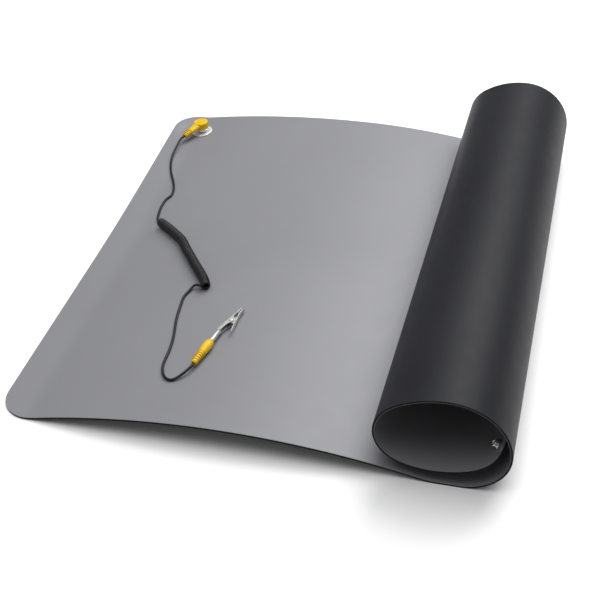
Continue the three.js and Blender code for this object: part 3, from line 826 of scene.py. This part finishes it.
ribbedFrom = snap["tailLong"] - (snap["ribs"] - 0.5) * snap["pitch"]
tailRadiusAt = snap["tailRoot"] + (snap["tailEnd"] - snap["tailRoot"]) * ribbedFrom / snap["tailLong"]
snapRibs = ribShapes({
    "Count": snap["ribs"], "Start": ribbedFrom, "Pitch": snap["pitch"],
    "First Radius": tailRadiusAt * snap["ribSeat"], "Last Radius": snap["tailEnd"] * snap["ribSeat"],
    "Breadth": snap["breadth"] * snap["ribBreadth"], "Thickness": snap["ribThick"], "Finish": yellowMoulding,
})
snapTail = ringMesh(ovalRings(snapTailStations()))
snapCap = moulding("snapCap", [
    ringMesh(turnedShape(capProfile(), 96)),
    ([tailPlace @ v for v in snapTail[0]], snapTail[1]),
    ([tailPlace @ v for v in snapRibs[0]], snapRibs[1]),
], snapFrame, yellowMoulding)
settle(snapCap, "snap_head")
print("snap head moulded, triangles:", len(snapCap.data.polygons) * 2)


# Plug: ribbed tail, a neck, then the bullet-shaped body with the pin's bore
def plugProfile():
    long, belly, neck = plug["long"], plug["long"] * plug["belly"], plug["neck"]
    profile = [(0.5, 0), (plug["tailRadius"] - 0.9, 0), (plug["tailRadius"] - 0.45, 0.35)]
    for i in range(1, 31):
        u = belly * i / 30
        slim = plug["tailRadius"] - 0.35 + 0.5 * u / neck
        full = plug["radius"] - 0.5 + 0.5 * smooth((u - neck) / (belly - neck))
        profile.append((slim + (full - slim) * smooth((u - neck + 0.8) / 1.4), u))
    for i in range(1, 13):
        share = sin(pi / 2 * i / 12)
        slimming = sqrt(1 - share ** 2 * (1 - plug["nose"] ** 2))
        profile.append((plug["radius"] * slimming, belly + (long - belly) * share))
    bore = plug["pin"] + gap
    return profile + [(bore, long), (bore, long - plug["pinSeat"]), (0.5, long - plug["pinSeat"])]


lieDown = Matrix.Rotation(pi / 2, 4, "Y")
plugRibs = ribShapes({
    "Count": plug["ribs"], "Start": plug["ribFrom"], "Pitch": plug["pitch"],
    "First Radius": plug["tailRadius"] * plug["firstRib"],
    "Last Radius": plug["tailRadius"] * plug["lastRib"],
    "Breadth": 1.0, "Thickness": plug["ribThick"], "Finish": yellowMoulding,
})
bodyShape = ringMesh(turnedShape(plugProfile(), 96))
plugShape = ([lieDown @ v for v in bodyShape[0]], bodyShape[1])
plugBody = moulding("plugBody", [plugShape, plugRibs], plugFrame, yellowMoulding)
settle(plugBody, "plug_grip")
print("plug moulded, triangles:", len(plugBody.data.polygons) * 2)


# Clip: pressed jaws with soft edges, its rivet and wound spring
def pressedPiece(name, node, width, material, body):
    mesh = bpy.data.objects[node].data.copy()
    mesh.name = name
    mesh.materials.clear()
    mesh.materials.append(material)
    piece = bpy.data.objects.new(name, mesh)
    bpy.context.collection.objects.link(piece)
    shape = bmesh.new()
    shape.from_mesh(mesh)
    bmesh.ops.remove_doubles(shape, verts=shape.verts, dist=2e-6)
    bmesh.ops.dissolve_limit(shape, angle_limit=radians(1), verts=shape.verts, edges=shape.edges)
    shape.to_mesh(mesh)
    shape.free()
    mesh.shade_smooth()
    mesh.set_sharp_from_angle(angle=radians(30))
    bevelLive(piece, width)
    return settle(piece, node, body)


pressedPiece("barrelJaw", "clip_barrel_jaw", clip["softEdge"], clipSteel, "mat")
pressedPiece("leverJaw", "clip_lever_jaw", clip["softEdge"], clipSteel, "sprung_jaw")
wrist = Matrix.Translation((clip["wrist"], 0, 0))
jawPlace = (plugFrame @ Matrix.Translation((clipRear, 0, 0)) @ wrist
            @ Matrix.Rotation(radians(clip["bend"]), 4, "Z") @ wrist.inverted())
pivotPlace = jawPlace @ Matrix.Translation((*clip["pivot"], 0))


def rivetProfile():
    side = clip["width"] / 2 + gap
    top = side + clip["headThick"]
    dome = [(clip["pivotHead"], side), (clip["pivotHead"], side + 0.15), (clip["pivotHead"] - 0.4, top - 0.1),
            (0.9, top), (0.7, top - 0.12), (0.2, top - 0.12)]
    half = [(clip["pivotRadius"], side)] + dome
    return [(r, -z) for r, z in reversed(half)] + half


def springTurns():
    half = clip["width"] / 2 - 2 * clip["sheet"] - 2 * gap
    wire, perTurn = clip["springWire"], clip["springSteps"]
    centre = (clip["pivotRadius"] + gap + clip["spring"]) / 2
    steps = int(clip["springTurns"] * perTurn)
    line = []
    for i in range(steps + 1):
        turn = 2 * pi * i / perTurn
        height = (half - wire) * (2 * i / steps - 1)
        line.append(pivotPlace @ Vector((centre * cos(turn), centre * sin(turn), height)))
    return wire, line


clipRivet = turnedPiece("clipRivet", rivetProfile(), pivotPlace, clipSteel, sides=48)
settle(clipRivet, "clip_pivot")
springWire, springLine = springTurns()
vertices, faces = ringMesh(tubeRings(springLine, springWire, 10))
clipCoil = placeMesh("clipCoil", vertices, faces, clipSteel, 60)
tidyNormals(clipCoil.data)
settle(clipCoil, "clip_spring")
print("clip finished")


# CAD pieces that stay as they are, with procedural finishes
def finishNode(node, material):
    shown = bpy.data.objects[node]
    shown.data.materials.clear()
    shown.data.materials.append(material)
    return shown


for node in ("snap_socket", "plug_pin"):
    finishNode(node, nickel)


# Floor and studio light
studio = {"floor": 9, "world": 0.25, "key": (0.5, 1.1, 1.6, 36, 1.5), "overhead": (-0.1, -0.1, 2.2, 38, 2.2)}


def addLight(name, spot, aim=(0, 0, 0)):
    x, y, z, watts, size = spot
    data = bpy.data.lights.new(name, "AREA")
    data.energy = watts
    data.size = size
    light = bpy.data.objects.new(name, data)
    light.location = (x, y, z)
    light.rotation_euler = (Vector(aim) - Vector((x, y, z))).to_track_quat("-Z", "Y").to_euler()
    bpy.context.collection.objects.link(light)


def addFloor(reach):
    mesh = bpy.data.meshes.new("floor")
    corners = [(-reach, -reach, 0), (reach, -reach, 0), (reach, reach, 0), (-reach, reach, 0)]
    mesh.from_pydata(corners, [], [(0, 1, 2, 3)])
    mesh.materials.append(paleFloor)
    floor = bpy.data.objects.new("floor", mesh)
    floor.visible_diffuse = False  # its bounce would fill the roll's shaded inside
    bpy.context.collection.objects.link(floor)


def addWorld(strength):
    world = bpy.data.worlds.new("studio")
    world.use_nodes = True
    background = world.node_tree.nodes["Background"]
    background.inputs["Color"].default_value = (1, 1, 1, 1)
    background.inputs["Strength"].default_value = strength
    bpy.context.scene.world = world


bpy.context.scene.view_settings.view_transform = "Standard"
addFloor(studio["floor"])
addWorld(studio["world"])
addLight("key", studio["key"])
addLight("overhead", studio["overhead"])
print("studio lit")
